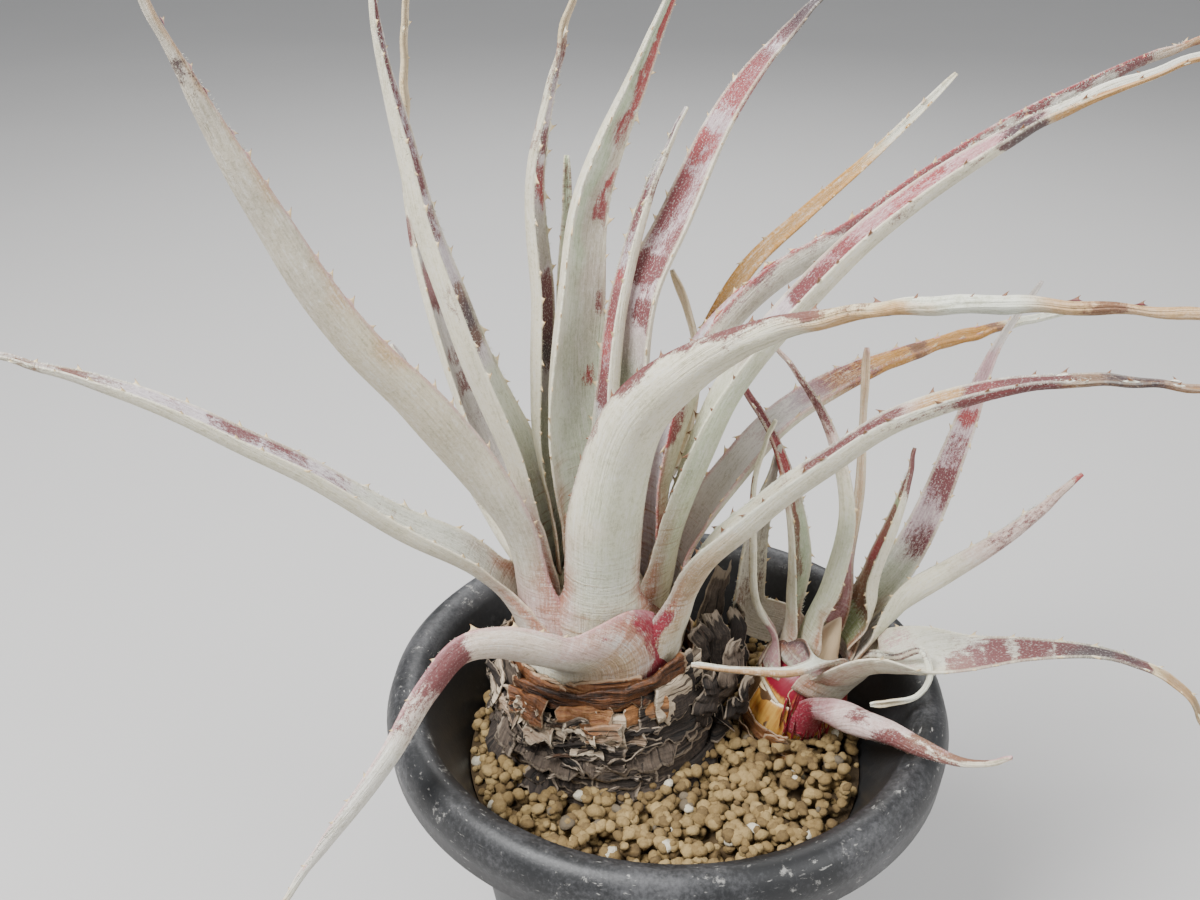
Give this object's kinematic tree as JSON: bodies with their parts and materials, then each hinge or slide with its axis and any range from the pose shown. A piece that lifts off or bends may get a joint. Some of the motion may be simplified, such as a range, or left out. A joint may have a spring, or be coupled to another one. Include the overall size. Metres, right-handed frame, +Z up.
{
  "type": "potted hechtia",
  "caption": "Spiny bromeliad rosette with arching toothed leaves and an offset beside it, standing in clay granules in a round plastic pot with a rolled rim.",
  "frame": {"origin": "the middle of the pot's flat underside, on the surface that it stands on", "axes": "+Z is up along the pot's axis, -Y is the front that the view faces, and +X runs from the main stem towards the offset"},
  "size_m": [0.302, 0.164, 0.306],
  "materials": {
    "pot": "satin black with a dusty sheen and pale scuffs",
    "soil": "dry matt clay granules",
    "dead_leaf_base": "dry, fibrous and matt",
    "torn_leaf_base": "dry and papery, with torn edges",
    "brown_sheath": "dry and slightly glossy",
    "bulb": "smooth and glossy",
    "leaf_silver": "matt scale-covered leaf",
    "leaf_green": "matt scale-covered leaf",
    "leaf_mottled": "matt leaf with cross bands",
    "leaf_pink": "smooth leaf",
    "leaf_dry": "dry ribbed leaf"
  },
  "bodies": {
    "root": {"pot": "pot", "soil": "soil", "main_stem": "dead_leaf_base", "torn_leaf_bases": "torn_leaf_base", "brown_sheath": "brown_sheath", "pup_stem": "bulb", "pup_brown_sheath": "brown_sheath", "leaf_back_slim": "leaf_mottled", "leaf_center": "leaf_silver", "leaf_back_mottled": "leaf_mottled", "leaf_back_narrow": "leaf_mottled", "leaf_back_short": "leaf_silver", "leaf_left_tall": "leaf_silver", "leaf_left_banded": "leaf_mottled", "leaf_right_upper": "leaf_silver", "leaf_right_middle": "leaf_green", "leaf_back_thread": "leaf_silver", "leaf_left_hidden": "leaf_pink", "leaf_front": "leaf_silver", "leaf_left_arching": "leaf_silver", "leaf_back_dry": "leaf_dry", "leaf_right_back": "leaf_dry", "leaf_left_low": "leaf_silver", "leaf_right_low": "leaf_silver", "leaf_left_drooping": "leaf_pink", "pup_leaf_needle": "leaf_dry", "pup_leaf_short": "leaf_silver", "pup_leaf_curving": "leaf_green", "pup_leaf_banded": "leaf_mottled", "pup_leaf_right": "leaf_silver", "pup_leaf_dark": "leaf_mottled", "pup_leaf_hook": "leaf_dry", "pup_leaf_low_right": "leaf_pink", "pup_leaf_strip": "leaf_dry", "pup_leaf_broad": "leaf_silver", "pup_leaf_curled": "leaf_pink", "pup_leaf_low_front": "leaf_mottled"}
  },
  "joints": []
}
